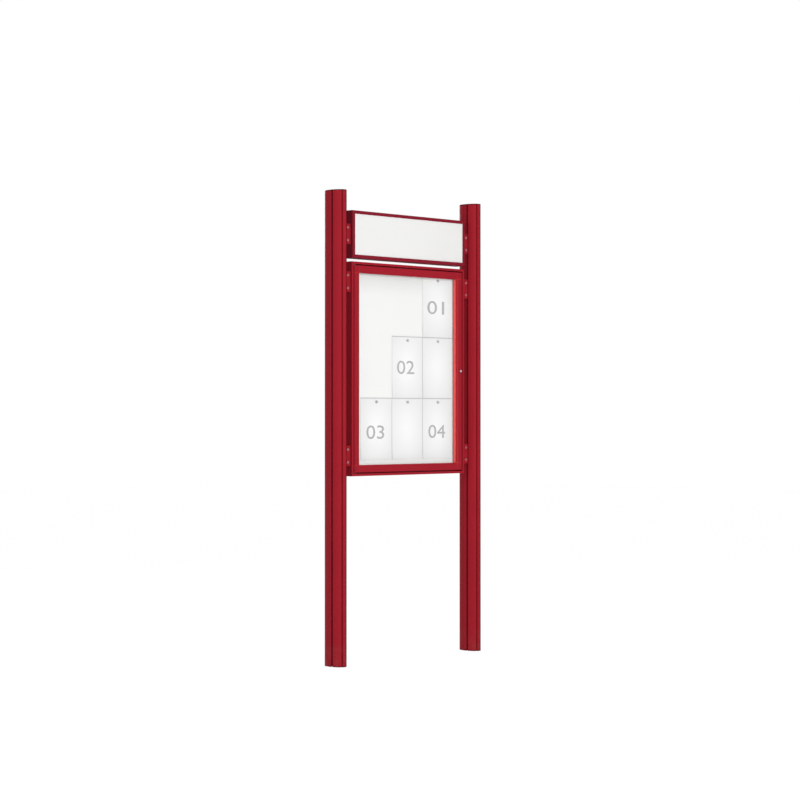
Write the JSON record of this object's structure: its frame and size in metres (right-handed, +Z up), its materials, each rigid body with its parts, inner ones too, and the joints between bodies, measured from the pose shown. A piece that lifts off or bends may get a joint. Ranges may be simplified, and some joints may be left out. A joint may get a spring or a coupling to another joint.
{
  "type": "outdoor notice board",
  "caption": "Free-standing outdoor notice board: a glazed, lockable display case and a sign header hung between two oval posts with T-slots and grooves.",
  "frame": {"origin": "centre of the left post's foot, at ground level", "axes": "+Z up the posts, +X from the left post to the right one as seen from the front, +Y to the back"},
  "size_m": [0.998, 0.124, 2.22],
  "materials": {
    "red_powder_coat": "satin powder coat, ruby red",
    "white_panel": "satin white",
    "board_face": "white enamel",
    "clear_glass": "clear",
    "sheet_paper": "matt",
    "grey_magnet": "matt",
    "zinc_steel": "zinc plated"
  },
  "bodies": {
    "frame": {"left_post": "red_powder_coat", "left_post_cap": "red_powder_coat", "right_post": "red_powder_coat", "right_post_cap": "red_powder_coat", "case_bottom_rail": "red_powder_coat", "case_right_rail": "red_powder_coat", "case_top_rail": "red_powder_coat", "case_left_rail": "red_powder_coat", "case_back_board": "board_face", "lower_pivot_pin": "zinc_steel", "upper_pivot_pin": "zinc_steel", "header_bottom_rail": "red_powder_coat", "header_right_rail": "red_powder_coat", "header_top_rail": "red_powder_coat", "header_left_rail": "red_powder_coat", "header_front_panel": "white_panel", "header_back_panel": "white_panel", "left_header_tongue": "red_powder_coat", "left_header_angle": "red_powder_coat", "left_case_upper_tongue": "red_powder_coat", "left_case_upper_angle": "red_powder_coat", "left_case_lower_tongue": "red_powder_coat", "left_case_lower_angle": "red_powder_coat", "left_hanger_bolts": "zinc_steel", "right_header_tongue": "red_powder_coat", "right_header_angle": "red_powder_coat", "right_case_upper_tongue": "red_powder_coat", "right_case_upper_angle": "red_powder_coat", "right_case_lower_tongue": "red_powder_coat", "right_case_lower_angle": "red_powder_coat", "right_hanger_bolts": "zinc_steel", "notice_sheets": "sheet_paper", "sheet_magnets": "grey_magnet"},
    "door": {"door_bottom_rail": "red_powder_coat", "door_right_rail": "red_powder_coat", "door_top_rail": "red_powder_coat", "door_left_rail": "red_powder_coat", "door_glass": "clear_glass", "lock_barrel": "zinc_steel"},
    "lock_cam": {"lock_plug": "zinc_steel"}
  },
  "joints": [
    {"name": "door_hinge", "type": "hinge", "parent": "frame", "child": "door", "pos_m": [0.098, -0.0245, 1.387], "axis": [0, 0, -1], "range_deg": [0, 95]},
    {"name": "lock_turn", "type": "hinge", "parent": "door", "child": "lock_cam", "pos_m": [0.817, -0.0305, 1.387], "axis": [0, -1, 0], "range_deg": [0, 90]}
  ]
}
